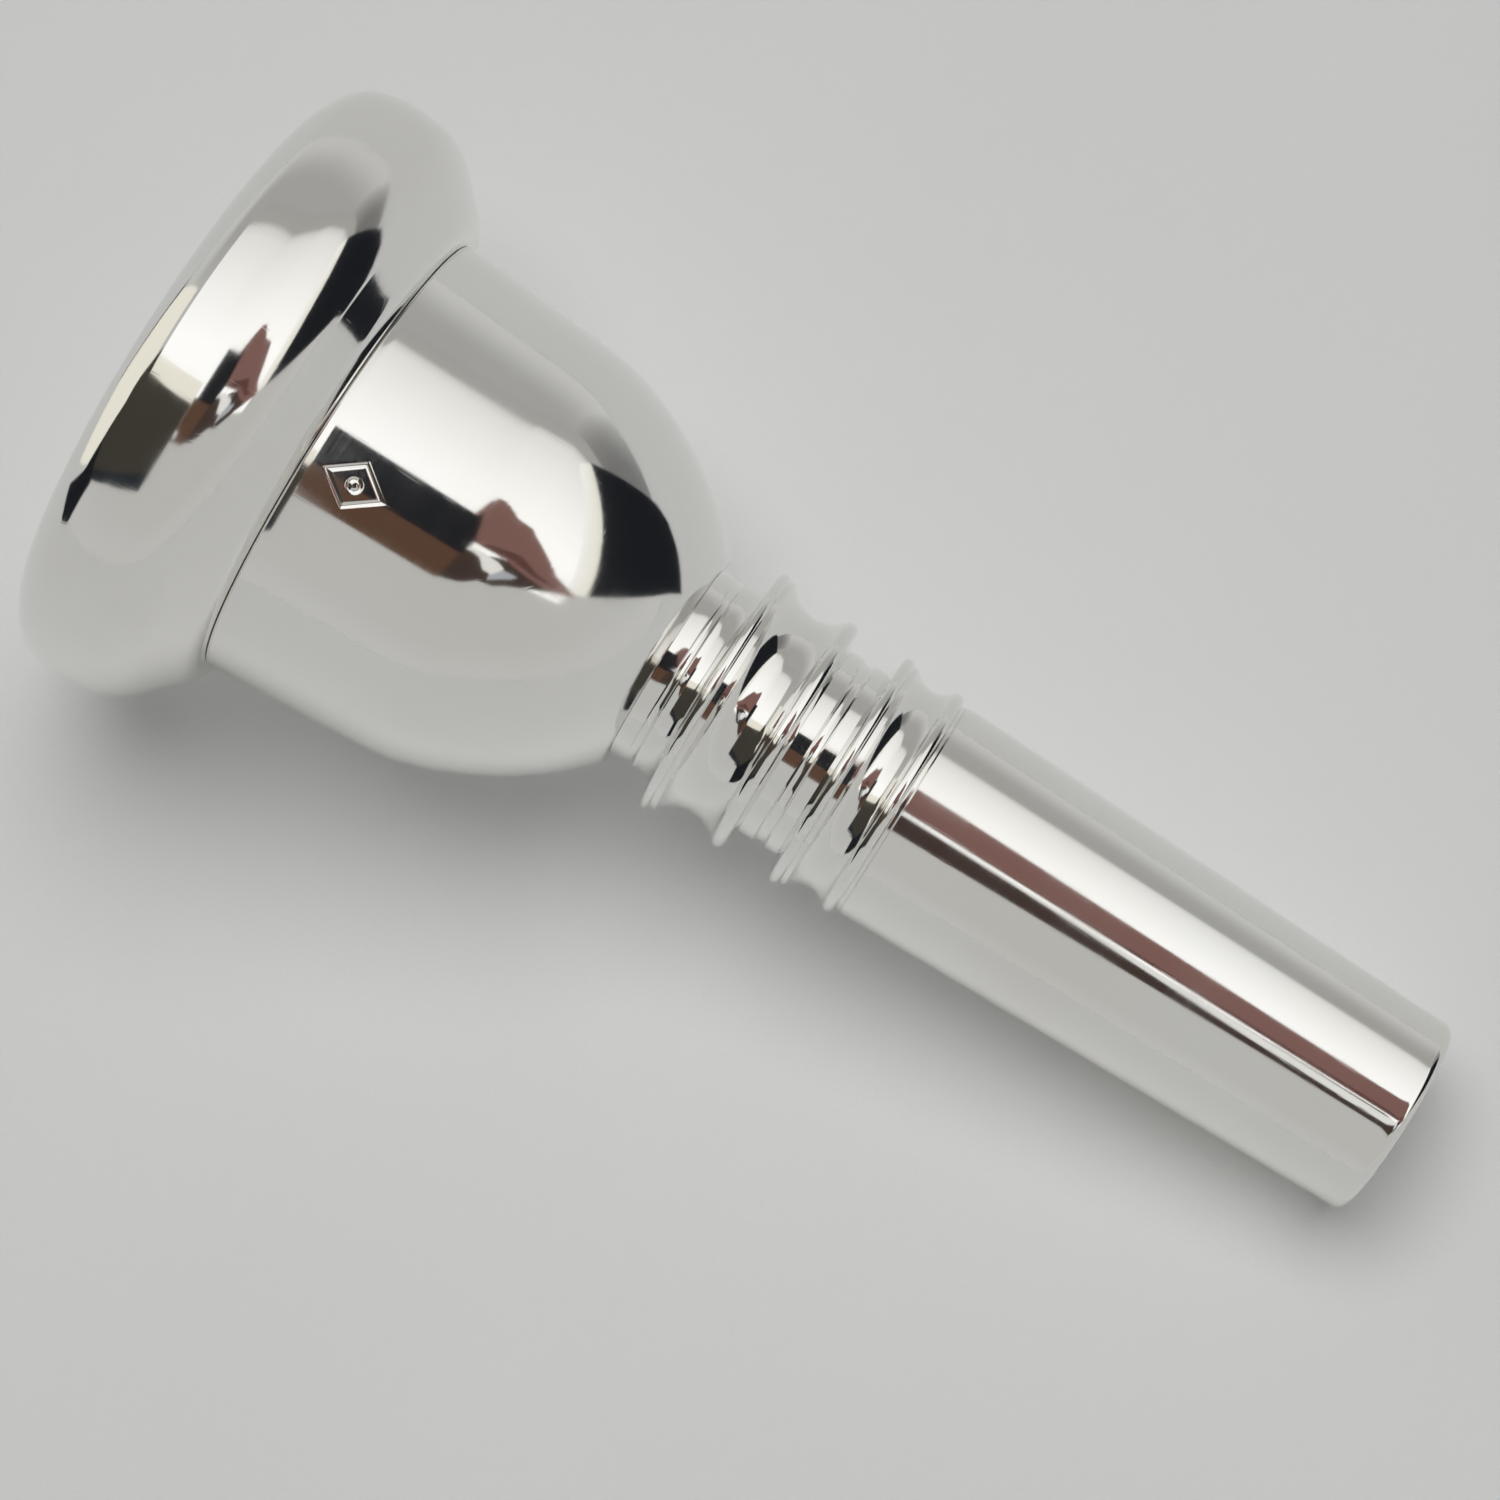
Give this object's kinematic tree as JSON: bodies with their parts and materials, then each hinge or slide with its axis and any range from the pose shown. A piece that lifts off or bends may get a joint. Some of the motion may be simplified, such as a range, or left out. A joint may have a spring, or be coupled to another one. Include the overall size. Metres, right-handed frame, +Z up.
{
  "type": "trombone mouthpiece",
  "caption": "Silver-plated brass trombone mouthpiece with a screw-on rounded rim, a deep cup and a ringed, tapered screw-in shank, lying on its side.",
  "frame": {"origin": "centre of the bounding box's base, on the surface that the mouthpiece lies on", "axes": "+Z up; +X runs along the mouthpiece from its rim to the end of its shank, as seen from above; +Y to the left of that. The turning axis itself slopes down towards +X by about 9.7 degrees, because the rim and the shank's end both touch the surface."},
  "size_m": [0.0872, 0.0396, 0.0393],
  "materials": {
    "rim_plate": "bright silver plate over turned brass, mirror polished",
    "cup_plate": "bright silver plate over turned brass, mirror polished",
    "shank_plate": "bright silver plate over turned brass, mirror polished",
    "rim_seal_rubber": "black nitrile rubber, satin",
    "shank_seal_rubber": "black nitrile rubber, satin"
  },
  "bodies": {
    "cup": {"cup": "cup_plate"},
    "rim_seal": {"rim_seal": "rim_seal_rubber"},
    "rim": {"rim": "rim_plate"},
    "shank_seal": {"shank_seal": "shank_seal_rubber"},
    "shank": {"shank": "shank_plate"}
  },
  "joints": [
    {"name": "rim_turn", "type": "hinge", "parent": "cup", "child": "rim_seal", "pos_m": [-0.02958, 0, 0.01849], "axis": [-0.9857, 0, 0.1686], "range_deg": [0, 1440]},
    {"name": "rim_travel", "type": "slide", "parent": "rim_seal", "child": "rim", "axis": [-0.9857, 0, 0.1686], "range_m": [0, 0.004]},
    {"name": "shank_travel", "type": "slide", "parent": "cup", "child": "shank_seal", "axis": [0.9857, 0, -0.1686], "range_m": [0, 0.005]},
    {"name": "shank_turn", "type": "hinge", "parent": "shank_seal", "child": "shank", "pos_m": [-0.00716, 0, 0.01465], "axis": [0.9857, 0, -0.1686], "range_deg": [0, 1800]}
  ],
  "couplings": [
    {"joint": "rim_turn", "follows": "rim_travel", "rad_per_m": 6283.2},
    {"joint": "shank_turn", "follows": "shank_travel", "rad_per_m": 6283.2}
  ]
}
